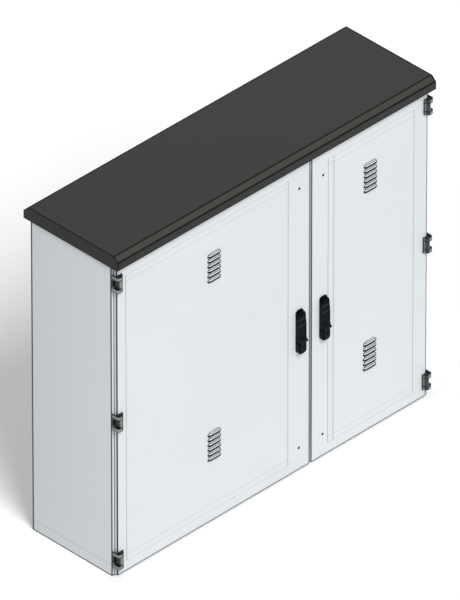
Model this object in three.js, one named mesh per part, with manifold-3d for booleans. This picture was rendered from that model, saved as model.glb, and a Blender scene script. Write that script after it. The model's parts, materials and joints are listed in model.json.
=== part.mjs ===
// Electrical distribution cabinet: two louvred doors of unequal width on external hinges, a canopy
// roof, a swing handle with a rod lock on each door, and the switchgear inside.
// Millimetres, +Z up, front towards -Y. The origin is the centre of the underside of the base pan.

import * as THREE from 'three';
import { mergeVertices } from 'three/addons/utils/BufferGeometryUtils.js';
import Module from 'manifold-3d';

const wasm = await Module();
wasm.setup();

// ---- driving dimensions ----

const gap = 0.3; // between pieces that seat on or run past each other
const sheet = 2; // steel sheet
const bendRadius = 2; // of a fold, at the middle of the sheet

const body = { width: 1200, depth: 304, height: 1026 };
const left = -body.width / 2;
const front = -body.depth / 2;
const rear = body.depth / 2;
const rim = { width: 54, lip: 5, rearReturn: 22 }; // of a side panel: front rim, sealing lip, back fold
const sill = { height: 44, header: 60, flange: 33 }; // folds under and over the doorways, side folds

const door = { standOff: 12.7, clearance: 1.5, edge: 9, bottom: 3, top: 1010, leftWidth: 732, gap: 7.4 };
const doorWidths = { left: door.leftWidth, right: body.width - 2 * door.edge - door.leftWidth - door.gap };
const skin = front - door.standOff; // outer face of both doors
const lockInset = 41.6; // from a door's lock edge to its handle and rods
const seal = { margin: 35, lockMargin: 63, width: 20, thickness: 5.1 };
const trough = { inset: 73, depth: 44 }; // mullion walls from the lock edges, and how deep it is
const keeper = { lip: 10, lipBack: 17, halfHeight: 10 }; // bent-in lips that the locks' tongues turn behind

const louvre = { length: 50, height: 11.5, depth: 6.5, wall: 1.8, pitch: 16.1, count: 6 };
const louvreCentres = [251, 839];
const hinge = { height: 50, axisIn: 15, axisOut: 20, radius: 7, pin: 3.5, window: 12.7, leafEnd: 27.4 };
const wing = { thickness: 3.4, corner: 7, slotEnd: 3.6 }; // the bracket's wall beside the barrel
const hingeHeights = { lower: 56, middle: 511, upper: 966 };

const roof = { side: 5, frontOver: 29.5, rearOver: 23, lipZ: 1018, lip: 25, chamfer: 15, endFlange: 25 };
const drip = { near: 1, far: 12 }; // the lips turned in under the long sides of the roof
const roofTop = roof.lipZ + roof.lip + roof.chamfer;
const roofRail = { centres: [-380, 380], half: 20, halfWithFeet: 38, setBack: 12 }; // hat sections under it

const handle = { width: 28, bottom: 398, top: 536, plate: 2.7, reach: 15, lipReach: 22, spindleZ: 520 };
const lever = { bottom: 436, slopeFrom: 486, pivotZ: 528, top: 534, thickness: 12, topThickness: 8 };
const pivot = { setIn: 3.6, pin: 1.5 }; // of the lever: how far in from its back, and the pin's radius
const lug = { radius: 2.9, halfWidth: 4.7, halfHeight: 8.5, play: 0.5 };
const lockHousing = { top: 432.5, cylinderZ: 412, cylinder: 8.5, coverPivotZ: 425 };
const cover = { halfWidth: 10, above: 7, below: 11, thickness: 2.5, stud: 2 };
const cam = { pinCircle: 16, pin: 3, lobe: 5.5, near: 7.3, thickness: 4, shaft: 8 };
const tongue = { near: 20, reach: 24, halfWidth: 7, back: 8 };
const hubRadius = 10.7;
const thumbHollow = { radius: 9, depth: 1, heights: [509, 490] };
const flute = { x: 5.5, halfWidth: 1, depth: 0.8, low: 456, high: 478 };
const rod = { width: 20, near: 3, thickness: 4, low: 50, high: 960, chamfer: 5 };
const rodGuideHeights = { upper: 932, lower: 76.5 };
const rodFoot = { far: -22.5, near: -6.1, low: -19.5, high: 20, shoulder: 42, play: 0.9 };

const glandOpenings = { left: [-500, -40], right: [260, 510], y: [-32, 108] };
const plate = { face: 119, sheet: 2, bottom: 120, top: 940 };
const plateSpans = { left: [-540, 40], right: [250, 540] };
const busbar = { from: -525, to: 25, height: 30, thickness: 10, near: 76, pitch: 60, centreZ: 640 };
const device = { width: 106, height: 230, pitch: 116, first: -424 };
const toggle = { radius: 12, width: 14, reach: 32, tip: Math.PI * 25 / 180 };
const knob = { radius: 26, grip: 24, spindle: 6 };
const earth = { from: 270, to: 520, z: 200, halfHeight: 13, thickness: 5, standOff: 24 };
const earthHoles = { count: 7, first: 56, pitch: 23, radius: 4.3 };
const rail = { from: 265, to: 525, z: 620, sheet: 1.5, half: 17.5, halfInside: 12.5, depth: 6, slots: 4,
  slotPitch: 70 };

// ---- solids ----

const axes = {
  x: new THREE.Vector3(1, 0, 0),
  y: new THREE.Vector3(0, 1, 0),
  z: new THREE.Vector3(0, 0, 1),
};
const turns = {
  x: new THREE.Matrix4().makeBasis(axes.y, axes.z, axes.x),
  y: new THREE.Matrix4().makeBasis(axes.x, axes.z, axes.y.clone().negate()),
  z: new THREE.Matrix4(),
};

function solid(geometry) {
  const bare = geometry.clone();
  bare.deleteAttribute('normal');
  bare.deleteAttribute('uv');
  const merged = mergeVertices(bare, 1e-4);
  const index = merged.index.array;
  const triangles = [];
  for (let i = 0; i < index.length; i += 3) {
    const [a, b, c] = [index[i], index[i + 1], index[i + 2]];
    if (a !== b && b !== c && c !== a) triangles.push(a, b, c);
  }
  return new wasm.Manifold(new wasm.Mesh({
    numProp: 3,
    vertProperties: new Float32Array(merged.attributes.position.array),
    triVerts: new Uint32Array(triangles),
  }));
}

function geometryOf(manifold) {
  const mesh = manifold.getMesh();
  const geometry = new THREE.BufferGeometry();
  geometry.setAttribute('position', new THREE.BufferAttribute(new Float32Array(mesh.vertProperties), 3));
  geometry.setIndex(new THREE.BufferAttribute(new Uint32Array(mesh.triVerts), 1));
  return geometry;
}

function join(...pieces) {
  return geometryOf(pieces.map(solid).reduce((whole, piece) => whole.add(piece)));
}

function cut(base, ...tools) {
  return geometryOf(tools.map(solid).reduce((whole, tool) => whole.subtract(tool), solid(base)));
}

function common(a, b) {
  return geometryOf(solid(a).intersect(solid(b)));
}

// The same piece on the other side of the plane at `middle` across one axis.
function mirrored(geometry, axis = 'x', middle = 0) {
  const copy = geometryOf(solid(geometry));
  copy.scale(...(axis === 'x' ? [-1, 1, 1] : [1, 1, -1]));
  const corners = copy.index.array;
  for (let i = 0; i < corners.length; i += 3) {
    [corners[i + 1], corners[i + 2]] = [corners[i + 2], corners[i + 1]];
  }
  return copy.translate(axis === 'x' ? 2 * middle : 0, 0, axis === 'z' ? 2 * middle : 0);
}

function outline(points) {
  return new THREE.Shape(points.map(([a, b]) => new THREE.Vector2(a, b)));
}

function roundedRect(x0, x1, y0, y1, radius) {
  const shape = new THREE.Shape();
  shape.absarc(x1 - radius, y1 - radius, radius, 0, Math.PI / 2);
  shape.absarc(x0 + radius, y1 - radius, radius, Math.PI / 2, Math.PI);
  shape.absarc(x0 + radius, y0 + radius, radius, Math.PI, 1.5 * Math.PI);
  shape.absarc(x1 - radius, y0 + radius, radius, 1.5 * Math.PI, 2 * Math.PI);
  return shape;
}

// A shape run from `start` to `end` along an axis. A shape along X is drawn in Y and Z, one along Y in
// X and Z, and one along Z in X and Y. A bevel rounds the edges at both ends.
function extrude(shape, axis, start, end, { bevel = 0, bevelSegments = 2, curveSegments = 4 } = {}) {
  const geometry = new THREE.ExtrudeGeometry(shape, {
    depth: end - start - 2 * bevel,
    bevelEnabled: bevel > 0,
    bevelThickness: bevel,
    bevelSize: bevel,
    bevelOffset: -bevel,
    bevelSegments,
    curveSegments,
  });
  geometry.applyMatrix4(turns[axis]);
  const place = axis === 'y' ? end - bevel : start + bevel;
  return geometry.translate(...axes[axis].clone().multiplyScalar(place).toArray());
}

function block(x0, x1, y0, y1, z0, z1) {
  const geometry = new THREE.BoxGeometry(x1 - x0, y1 - y0, z1 - z0);
  return geometry.translate((x0 + x1) / 2, (y0 + y1) / 2, (z0 + z1) / 2);
}

// A round bar along an axis; a and b place it in the two other axes, in X, Y, Z order.
function bar(axis, radius, start, end, a, b, sides = 16) {
  const geometry = new THREE.CylinderGeometry(radius, radius, end - start, sides);
  const middle = (start + end) / 2;
  if (axis === 'x') return geometry.rotateZ(Math.PI / 2).translate(middle, a, b);
  if (axis === 'y') return geometry.translate(a, middle, b);
  return geometry.rotateX(Math.PI / 2).translate(a, b, middle);
}

// The section of a folded sheet: a line down its middle, given its thickness, with its bends rounded.
function foldedSection(points, thickness = sheet, radius = bendRadius) {
  const path = points.map(([a, b]) => new THREE.Vector2(a, b));
  const normalTo = (from, to) => new THREE.Vector2(from.y - to.y, to.x - from.x).normalize();
  const stations = [{ at: path[0], normal: normalTo(path[0], path[1]) }];
  for (let i = 1; i < path.length - 1; i += 1) {
    const before = normalTo(path[i - 1], path[i]);
    const after = normalTo(path[i], path[i + 1]);
    const turn = Math.atan2(before.cross(after), before.dot(after));
    const trim = radius * Math.tan(Math.abs(turn) / 2);
    const along = new THREE.Vector2(before.y, -before.x);
    const start = path[i].clone().addScaledVector(along, -trim);
    const centre = start.clone().addScaledVector(before, Math.sign(turn) * radius);
    const steps = Math.max(1, Math.round(Math.abs(turn) / (Math.PI / 4)));
    for (let k = 0; k <= steps; k += 1) {
      const normal = before.clone().rotateAround(new THREE.Vector2(), (turn * k) / steps);
      stations.push({ at: centre.clone().addScaledVector(normal, -Math.sign(turn) * radius), normal });
    }
  }
  const last = path.length - 1;
  stations.push({ at: path[last], normal: normalTo(path[last - 1], path[last]) });
  const side = (offset) => stations.map(({ at, normal }) => at.clone().addScaledVector(normal, offset));
  return new THREE.Shape([...side(thickness / 2), ...side(-thickness / 2).reverse()]);
}

// ---- the scene graph ----

const cabinet = new THREE.Group();
const finishes = {
  lightGreyPaint: { color: 0xdde1e4, roughness: 0.5, metalness: 0.1 },
  darkGreyPaint: { color: 0x454543, roughness: 0.6, metalness: 0.1 },
  dieCast: { color: 0x5c5e61, roughness: 0.5, metalness: 0.4 },
  blackPlastic: { color: 0x181c26, roughness: 0.45, metalness: 0 },
  greyPlastic: { color: 0x9a9ea3, roughness: 0.6, metalness: 0 },
  zincSteel: { color: 0xb4b8bc, roughness: 0.4, metalness: 0.8 },
  nickel: { color: 0xc8c9c6, roughness: 0.3, metalness: 0.9 },
  copper: { color: 0xb87a50, roughness: 0.35, metalness: 0.95 },
  sealFoam: { color: 0x2a2b2d, roughness: 0.9, metalness: 0 },
  redPlastic: { color: 0xa8261f, roughness: 0.5, metalness: 0 },
};

function add(name, geometry, finish) {
  const mesh = new THREE.Mesh(geometry, new THREE.MeshStandardMaterial(finishes[finish]));
  mesh.name = name;
  cabinet.add(mesh);
}

// ---- body ----

function sidePanel() {
  const half = sheet / 2;
  const lipX = left + rim.width - half;
  const backY = rear - sheet - gap - half;
  const section = foldedSection([
    [lipX, front - rim.lip],
    [lipX, front + half],
    [left + half, front + half],
    [left + half, backY],
    [left + rim.rearReturn, backY],
  ]);
  const panel = extrude(section, 'z', 0, body.height);
  const [x0, x1, y0, y1] = [left + rim.width - 5, left + rim.width + 5, front - 9, front - 0.01];
  const belowLip = block(x0, x1, y0, y1, -9, sill.height - sheet);
  const aboveLip = block(x0, x1, y0, y1, body.height - sill.header + sheet, body.height + 9);
  return cut(panel, belowLip, aboveLip);
}

// A pan that closes the bottom of the body. Its front fold ends in a sealing lip, which stops at the
// trough of the mullion; its side and back folds stand inside the panels.
function closingPan(frontHeight, openings) {
  const half = sheet / 2;
  const inside = -left - rim.width - gap;
  const backY = rear - sheet - 2 * gap - sheet - half;
  const across = extrude(foldedSection([
    [front - rim.lip, frontHeight - half],
    [front + half, frontHeight - half],
    [front + half, half],
    [backY, half],
    [backY, sill.flange],
  ]), 'x', -inside, inside);
  const sideX = -left - sheet - gap - half;
  const lengthwise = extrude(foldedSection([
    [-sideX, sill.flange],
    [-sideX, half],
    [sideX, half],
    [sideX, sill.flange],
  ]), 'y', front + 3.5, backY - 2);
  const [troughLeft, troughRight] = troughWalls();
  const lipGap = block(troughLeft + sheet, troughRight - sheet, front - 9, front - 0.01,
    frontHeight - 9, frontHeight + 9);
  return cut(join(across, lengthwise), lipGap, ...openings);
}

function glandOpening([x0, x1]) {
  return extrude(roundedRect(x0, x1, ...glandOpenings.y, 8), 'z', -5, 10, { curveSegments: 2 });
}

function basePan() {
  const anchors = [[-540, -110], [540, -110], [-540, 115], [540, 115]];
  const holes = anchors.map(([x, y]) => bar('z', 7, -5, 10, x, y, 10));
  const glands = [glandOpenings.left, glandOpenings.right].map(glandOpening);
  return closingPan(sill.height, [...glands, ...holes]);
}

function topPanel() {
  return mirrored(closingPan(sill.header, []), 'z', body.height / 2);
}

function rearPanel() {
  const shape = outline([[left, 0], [-left, 0], [-left, body.height], [left, body.height]]);
  return extrude(shape, 'y', rear - sheet, rear);
}

function troughWalls() {
  const leftEdge = left + door.edge + doorWidths.left;
  const rightEdge = -left - door.edge - doorWidths.right;
  return [leftEdge - trough.inset, rightEdge + trough.inset];
}

function centreMullion() {
  const half = sheet / 2;
  const [x0, x1] = troughWalls();
  const webY = front + trough.depth;
  const section = foldedSection([
    [x0 + half, front - rim.lip],
    [x0 + half, webY],
    [x1 - half, webY],
    [x1 - half, front - rim.lip],
  ]);
  const channel = extrude(section, 'z', sheet + gap, body.height - sheet - gap);
  const headerZ = body.height - sill.header;
  const sillNotch = block(x0 - 9, x1 + 9, front - 9, front + 3.5, -9, sill.height + gap);
  const headerNotch = block(x0 - 9, x1 + 9, front - 9, front + 3.5, headerZ - gap, body.height + 9);
  return cut(channel, sillNotch, headerNotch);
}

// A channel welded across the inside of the trough. Its two lips are the keepers of the locks.
function lockKeeper() {
  const half = sheet / 2;
  const [x0, x1] = troughWalls();
  const legLeft = x0 + sheet + gap + half;
  const legRight = x1 - sheet - gap - half;
  const lipY = front + keeper.lipBack;
  const webY = front + trough.depth - half - gap - half;
  const section = foldedSection([
    [legLeft + keeper.lip, lipY],
    [legLeft, lipY],
    [legLeft, webY],
    [legRight, webY],
    [legRight, lipY],
    [legRight - keeper.lip, lipY],
  ]);
  return extrude(section, 'z', handle.spindleZ - keeper.halfHeight, handle.spindleZ + keeper.halfHeight);
}

function roofSection(inset) {
  const y0 = front - roof.frontOver + inset;
  const y1 = rear + roof.rearOver - inset;
  const top = roofTop - inset;
  const c = roof.chamfer - inset * (2 - Math.SQRT2);
  const bottom = inset ? roof.lipZ - 9 : roof.lipZ;
  return outline([[y0, bottom], [y0, top - c], [y0 + c, top], [y1 - c, top], [y1, top - c], [y1, bottom]]);
}

function canopyRoof() {
  const endX = -left + roof.side;
  const insideX = endX - sheet;
  const inside = extrude(roofSection(sheet), 'x', -insideX, insideX);
  const shell = cut(extrude(roofSection(0), 'x', -endX, endX), inside);
  const y0 = front - roof.frontOver;
  const y1 = rear + roof.rearOver;
  const under = roofTop - sheet;
  const endFlange = block(endX - roof.endFlange, insideX + 1, y0 + 17, y1 - 17, under - sheet, under + 1);
  const drips = [[y0 + drip.near, y0 + drip.far], [y1 - drip.far, y1 - drip.near]].map(
    ([a, b]) => block(-insideX - 1, insideX + 1, a, b, roof.lipZ, roof.lipZ + sheet));
  const feet = body.height + gap + sheet / 2;
  const { half, halfWithFeet, setBack } = roofRail;
  const rails = roofRail.centres.map((x) => extrude(foldedSection([
    [x - halfWithFeet, feet],
    [x - half, feet],
    [x - half, under - 0.5],
    [x + half, under - 0.5],
    [x + half, feet],
    [x + halfWithFeet, feet],
  ]), 'y', front + setBack, rear - setBack));
  return join(shell, endFlange, mirrored(endFlange), ...drips, ...rails);
}

function glandPlate([x0, x1]) {
  const over = 15;
  const [y0, y1] = glandOpenings.y;
  const shape = roundedRect(x0 - over, x1 + over, y0 - over, y1 + over, 6);
  const screws = [x0 - 7, x1 + 7].flatMap((x) => [y0 - 7, y1 + 7].map((y) => [x, y]));
  const base = extrude(shape, 'z', sheet + gap, 2 * sheet + gap, { curveSegments: 2 });
  return cut(base, ...screws.map(([x, y]) => bar('z', 3.3, 0, 9, x, y, 8)));
}

// ---- hinges, drawn for the left side about the hinge axis ----

const hingeX = left + hinge.axisIn;
const hingeY = front - hinge.axisOut;

// The bracket's wing stands on the body's front edge, turns the corner and curls into the barrel.
function hingeBracket(z) {
  const outer = gap - hinge.axisIn;
  const inner = outer + wing.thickness;
  const seat = hinge.axisOut - gap;
  const curl = new THREE.Shape();
  curl.moveTo(outer, seat);
  curl.lineTo(outer, wing.corner - hinge.radius);
  curl.quadraticCurveTo(outer, -hinge.radius, outer + wing.corner, -hinge.radius);
  curl.absarc(0, 0, hinge.radius, -Math.PI / 2, Math.PI);
  curl.lineTo(-hinge.radius, -wing.slotEnd);
  curl.lineTo(inner, -wing.slotEnd);
  curl.lineTo(inner, seat);
  const half = hinge.height / 2;
  const casting = extrude(curl, 'z', -half, half, { bevel: 0.8, bevelSegments: 1, curveSegments: 5 });
  const windowEnd = seat - wing.corner;
  const window = extrude(roundedRect(-30, windowEnd, -hinge.window, hinge.window, 4), 'x', -30, 30,
    { curveSegments: 1 });
  const pin = bar('z', hinge.pin, -half + 2, half - 2, 0, 0, 12);
  return join(cut(casting, window), pin).translate(hingeX, hingeY, z);
}

function hingeLeaf(z) {
  const half = hinge.height / 2;
  const back = hinge.axisOut - door.standOff - gap;
  const face = back - 3.5;
  const end = hinge.leafEnd - hinge.axisIn;
  const flange = extrude(roundedRect(hinge.radius + 0.6, end, -half, half, 1.5), 'y', face, back,
    { curveSegments: 1 });
  const reach = hinge.window - gap;
  const barrel = bar('z', hinge.radius, -reach, reach, 0, 0, 16);
  const web = block(0, hinge.radius + 2, face, back, -reach, reach);
  const bore = bar('z', hinge.pin + gap, -half, half, 0, 0, 12);
  return cut(join(flange, barrel, web), bore).translate(hingeX, hingeY, z);
}

// ---- doors, drawn with the hinges on the left ----

// One louvre is half of a round-ended bar squashed flat: `grow` is 0 for its outside, and minus the
// wall thickness for the hollow under the hood.
function louvreForm(grow) {
  const radius = louvre.height + grow;
  const form = new THREE.CapsuleGeometry(radius, louvre.length - 2 * louvre.height, 2, 12);
  form.rotateZ(Math.PI / 2);
  form.scale(1, (louvre.depth + grow) / radius, 1);
  const upper = block(-louvre.length, louvre.length, -40, 40, 0, 40);
  return common(form, upper);
}

function louvrePlaces(width) {
  const x = left + door.edge + width / 2;
  const span = (louvre.count - 1) * louvre.pitch + louvre.height;
  return louvreCentres.flatMap((z) => Array.from({ length: louvre.count },
    (_, i) => [x, skin, z - span / 2 + i * louvre.pitch]));
}

function doorPan(width) {
  const x0 = left + door.edge;
  const x1 = x0 + width;
  const back = front - door.clearance;
  const rect = outline([[x0, door.bottom], [x1, door.bottom], [x1, door.top], [x0, door.top]]);
  const folded = extrude(rect, 'y', skin, back + 9, { bevel: 2.5 });
  const hollow = block(x0 + sheet, x1 - sheet, skin + sheet, back + 20,
    door.bottom + sheet, door.top - sheet);
  const trim = block(x0 - 9, x1 + 9, back, back + 20, 0, door.top + 9);
  const hood = louvreForm(0);
  const throat = louvreForm(-louvre.wall);
  const places = louvrePlaces(width);
  const hoods = places.map((place) => hood.clone().translate(...place));
  const throats = places.map((place) => throat.clone().translate(...place));
  const lockX = x1 - lockInset;
  const spindleHole = bar('y', 7.5, skin - 9, skin + 9, lockX, handle.spindleZ, 16);
  const pressed = cut(join(folded, ...hoods), hollow, trim);
  return cut(pressed, ...throats, spindleHole);
}

function doorGasket(width) {
  const x0 = left + door.edge + seal.margin;
  const x1 = left + door.edge + width - seal.lockMargin;
  const y0 = skin + sheet + gap;
  const z0 = seal.margin;
  const z1 = door.top - seal.margin;
  const w = seal.width;
  const ring = roundedRect(x0, x1, z0, z1, 12);
  ring.holes.push(roundedRect(x0 + w, x1 - w, z0 + w, z1 - w, 4));
  return extrude(ring, 'y', y0, y0 + seal.thickness, { bevel: 1.2, bevelSegments: 1, curveSegments: 1 });
}

// ---- swing handle and rod lock, drawn about the lock line x = 0 with the door on its -X side ----

const baseBack = skin - gap;
const baseFace = baseBack - handle.plate;
const housingFace = skin - handle.reach;
const leverBack = baseFace - gap;
const leverFace = leverBack - lever.thickness;
const pivotY = leverBack - pivot.setIn;

function handleBase() {
  const half = handle.width / 2;
  const plateShape = roundedRect(-half, half, handle.bottom, handle.top, 9);
  const plateSolid = extrude(plateShape, 'y', baseFace, baseBack, { curveSegments: 3 });
  const housingShape = roundedRect(-half, half, handle.bottom, lockHousing.top, 6);
  const housing = extrude(housingShape, 'y', housingFace, baseBack - 1,
    { bevel: 1.5, bevelSegments: 1, curveSegments: 2 });
  const hubHole = bar('y', hubRadius + gap, baseFace - 5, baseBack + 5, 0, handle.spindleZ, 20);
  const { cylinder, cylinderZ } = lockHousing;
  const bore = bar('y', cylinder + gap, housingFace - 5, baseBack + 5, 0, cylinderZ, 20);
  const coverBore = bar('y', cover.stud + 0.4, housingFace - 5, baseFace - 2, 0, lockHousing.coverPivotZ, 10);
  return cut(join(plateSolid, housing), hubHole, bore, coverBore);
}

function lugSection(radius, near, low, high) {
  const shape = new THREE.Shape();
  shape.moveTo(near, high);
  shape.lineTo(near, low);
  shape.absarc(pivotY, lever.pivotZ, radius, (4 / 3) * Math.PI, Math.PI / 2, true);
  return shape;
}

// Hub, hinge lug, square shaft, rod cam and tongue: everything that turns with the handle.
function lockSpindle() {
  const { pinCircle, pin, near, thickness, shaft } = cam;
  const z = handle.spindleZ;
  const hub = bar('y', hubRadius, baseFace, baseBack, 0, z, 20);
  const lugShape = lugSection(lug.radius, baseFace + 1, z - lug.halfHeight, z + lug.halfHeight);
  const lugSolid = extrude(lugShape, 'x', -lug.halfWidth, lug.halfWidth);
  const hingePin = bar('x', pivot.pin, -9.5, 9.5, pivotY, lever.pivotZ, 10);
  const half = shaft / 2;
  const tongueFar = front + tongue.near + thickness;
  const square = block(-half, half, baseBack - 1, tongueFar + 2, z - half, z + half);
  const reach = pinCircle * Math.SQRT1_2;
  const pins = [[-reach, z - reach], [reach, z + reach]];
  const lobes = new THREE.Shape();
  lobes.absarc(reach, reach, cam.lobe, -Math.PI / 4, (3 / 4) * Math.PI);
  lobes.absarc(-reach, -reach, cam.lobe, (3 / 4) * Math.PI, (7 / 4) * Math.PI);
  const camPlate = extrude(lobes, 'y', front + near, front + near + thickness).translate(0, 0, z);
  const studs = pins.map(([x, pinZ]) => bar('y', pin, front + rod.near - 1, front + near + 1, x, pinZ, 12));
  const tongueShape = roundedRect(-tongue.halfWidth, tongue.halfWidth, z - tongue.reach, z + tongue.back, 3);
  const tonguePlate = extrude(tongueShape, 'y', tongueFar - thickness, tongueFar, { curveSegments: 2 });
  return join(hub, lugSolid, hingePin, square, camPlate, ...studs, tonguePlate);
}

// The lever's side view: thin at its pivot, thicker down to the lip that the fingers pull.
function leverSide() {
  const { bottom, slopeFrom, pivotZ, top, topThickness } = lever;
  const faceAtTop = leverBack - topThickness;
  const lipY = skin - handle.lipReach;
  const side = new THREE.Shape();
  side.moveTo(leverBack, bottom);
  side.lineTo(leverBack, pivotZ);
  side.absarc(pivotY, pivotZ, pivot.setIn, 0, 0.39 * Math.PI);
  side.lineTo(pivotY - 0.6, top);
  side.quadraticCurveTo(faceAtTop, top, faceAtTop, pivotZ);
  side.lineTo(leverFace, slopeFrom);
  side.lineTo(leverFace, bottom + 16);
  side.quadraticCurveTo(leverFace, bottom + 6, lipY, bottom + 4);
  side.lineTo(lipY, bottom);
  return side;
}

// Two thumb hollows cross the face, and two flutes run down below them. The pocket opens the lever's
// back for the lug, and the bore takes the hinge pin.
function handleLever() {
  const half = handle.width / 2 - 0.2;
  const rounding = { bevel: 1.2, bevelSegments: 1, curveSegments: 5 };
  const bodySolid = extrude(leverSide(), 'x', -half, half, rounding);
  const face = roundedRect(-half - 3, half + 3, lever.bottom - 9, lever.top, 12);
  const { radius, depth, heights } = thumbHollow;
  const slope = (lever.thickness - lever.topThickness) / (lever.pivotZ - lever.slopeFrom);
  const hollows = heights.map((z) => {
    const faceY = leverBack - lever.topThickness - slope * (lever.pivotZ - z);
    return bar('x', radius, -10, 10, faceY + depth - radius, z, 24);
  });
  const flutes = [-flute.x, flute.x].map((x) => block(x - flute.halfWidth, x + flute.halfWidth,
    leverFace - 5, leverFace + flute.depth, flute.low, flute.high));
  const { play } = lug;
  const pocketShape = lugSection(lug.radius + play, leverBack + 3, handle.spindleZ - 15, lever.pivotZ + 9);
  const pocket = extrude(pocketShape, 'x', -lug.halfWidth - 0.4, lug.halfWidth + 0.4);
  const bore = bar('x', pivot.pin + gap, -9.8, 9.8, pivotY, lever.pivotZ, 10);
  return cut(common(bodySolid, extrude(face, 'y', -300, -100)), ...hollows, ...flutes, pocket, bore);
}

function lockCylinder() {
  const z = lockHousing.cylinderZ;
  const plug = bar('y', lockHousing.cylinder, housingFace + 0.5, baseBack, 0, z, 20);
  const keyway = block(-1.2, 1.2, housingFace - 5, housingFace + 9, z - 4.5, z + 4.5);
  return cut(plug, keyway);
}

function cylinderCover() {
  const { halfWidth, above, below, thickness, stud } = cover;
  const z = lockHousing.coverPivotZ;
  const shape = roundedRect(-halfWidth, halfWidth, lockHousing.cylinderZ - below, z + above, above);
  const lid = extrude(shape, 'y', housingFace - gap - thickness, housingFace - gap,
    { bevel: 0.8, bevelSegments: 1, curveSegments: 2 });
  return join(lid, bar('y', stud, housingFace - 1, housingFace + 7, 0, z, 10));
}

// A flat bar with a foot beside the shaft: the stud of the cam runs in the slot of the foot. The upper
// rod is drawn up from the spindle, and the lower one is the same turned half a turn about it.
function lockRod(end) {
  const half = rod.width / 2;
  const length = Math.abs(end - handle.spindleZ);
  const { far, near, low, high, shoulder } = rodFoot;
  const shape = outline([
    [far, low], [near, low], [near, high], [half, high], [half, length - rod.chamfer],
    [half - rod.chamfer, length], [rod.chamfer - half, length], [-half, length - rod.chamfer],
    [-half, shoulder], [far, shoulder + half + far],
  ]);
  const reach = cam.pinCircle * Math.SQRT1_2;
  const play = cam.pin + rodFoot.play;
  const slot = roundedRect(-cam.pinCircle - play, play - reach, -reach - play, play - reach, play - 0.1);
  const y = front + rod.near;
  const flat = extrude(shape, 'y', y, y + rod.thickness);
  const slotted = cut(flat, extrude(slot, 'y', y - 5, y + 9, { curveSegments: 3 }));
  return slotted.rotateY(end > handle.spindleZ ? 0 : Math.PI).translate(0, 0, handle.spindleZ);
}

function rodGuide(z) {
  const back = skin + sheet + gap;
  const far = front + rod.near + rod.thickness + 3;
  const shape = outline([[-16, back], [16, back], [16, back + 4], [14, far], [-14, far], [-16, back + 4]]);
  const half = rod.width / 2 + 0.4;
  const near = front + rod.near - 0.4;
  const slot = block(-half, half, near, near + rod.thickness + 0.8, z - 20, z + 20);
  return cut(extrude(shape, 'z', z - 9, z + 9), slot);
}

// ---- switchgear ----

function mountingPlate([x0, x1]) {
  const half = plate.sheet / 2;
  const foot = rear - sheet - gap;
  return extrude(foldedSection([
    [x0 + half, foot], [x0 + half, plate.face + half], [x1 - half, plate.face + half], [x1 - half, foot],
  ]), 'z', plate.bottom, plate.top);
}

function busbarSolid(z) {
  const half = busbar.height / 2;
  return block(busbar.from, busbar.to, busbar.near, busbar.near + busbar.thickness, z - half, z + half);
}

function busbarSupport(x) {
  const { near, thickness, pitch, centreZ, height } = busbar;
  const reach = pitch + height / 2 + 14;
  const shape = roundedRect(near - 6, plate.face - gap, centreZ - reach, centreZ + reach, 5);
  const slots = [-1, 0, 1].map((i) => block(x - 20, x + 20, near - gap, near + thickness + gap,
    centreZ + i * pitch - height / 2 - gap, centreZ + i * pitch + height / 2 + gap));
  return cut(extrude(shape, 'x', x - 12, x + 12, { curveSegments: 2 }), ...slots);
}

// Moulded case of a switch that clamps on the busbars: a deep base, a step, and a nose at the middle.
function switchCase(x) {
  const half = device.height / 2;
  const z = busbar.centreZ;
  const y = busbar.near - gap;
  const side = outline([
    [y, z - half], [y, z + half], [y - 42, z + half], [y - 46, z + half - 4], [y - 46, z + 62],
    [y - 64, z + 58], [y - 64, z + 30], [y - 72, z + 27], [y - 72, z - 27], [y - 64, z - 30],
    [y - 64, z - 58], [y - 46, z - 62], [y - 46, z + 4 - half], [y - 42, z - half],
  ]);
  const width = device.width / 2;
  return extrude(side, 'x', x - width, x + width, { bevel: 1, bevelSegments: 1 });
}

const toggleY = busbar.near - gap - 58; // the axis of a toggle's drum
const knobY = busbar.near - gap - 72; // the face that the knob stands on

function feederSwitch(x) {
  const z = busbar.centreZ;
  const half = toggle.width / 2 + 0.6;
  const well = join(
    bar('x', toggle.radius + 1, x - half, x + half, toggleY, z, 20),
    block(x - half, x + half, toggleY - 40, toggleY, z - 13, z + 13),
  );
  return cut(switchCase(x), well);
}

// The toggle stands in its OFF place, tipped down.
function feederToggle(x) {
  const z = busbar.centreZ;
  const half = toggle.width / 2;
  const drum = bar('x', toggle.radius, x - half, x + half, toggleY, z, 20);
  const stick = extrude(roundedRect(toggleY - toggle.reach, toggleY, z - 3.5, z + 3.5, 2.5), 'x',
    x - half + 2, x + half - 2, { curveSegments: 2 });
  return join(drum, stick).translate(0, -toggleY, -z).rotateX(toggle.tip).translate(0, toggleY, z);
}

function mainSwitch(x) {
  const socket = bar('y', 6.4, knobY - 9, knobY + 14, x, busbar.centreZ, 16);
  return cut(switchCase(x), socket);
}

function mainSwitchKnob(x) {
  const z = busbar.centreZ;
  const disc = bar('y', knob.radius, knobY - gap - 7, knobY - gap, x, z, 24);
  const gripShape = roundedRect(x - 6, x + 6, z - 24, z + 24, 4);
  const grip = extrude(gripShape, 'y', knobY - gap - 24, knobY - gap - 5,
    { bevel: 1.5, bevelSegments: 1, curveSegments: 2 });
  const spindle = bar('y', 6, knobY - 3, knobY + 13, x, z, 16);
  return join(disc, grip, spindle);
}

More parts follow.
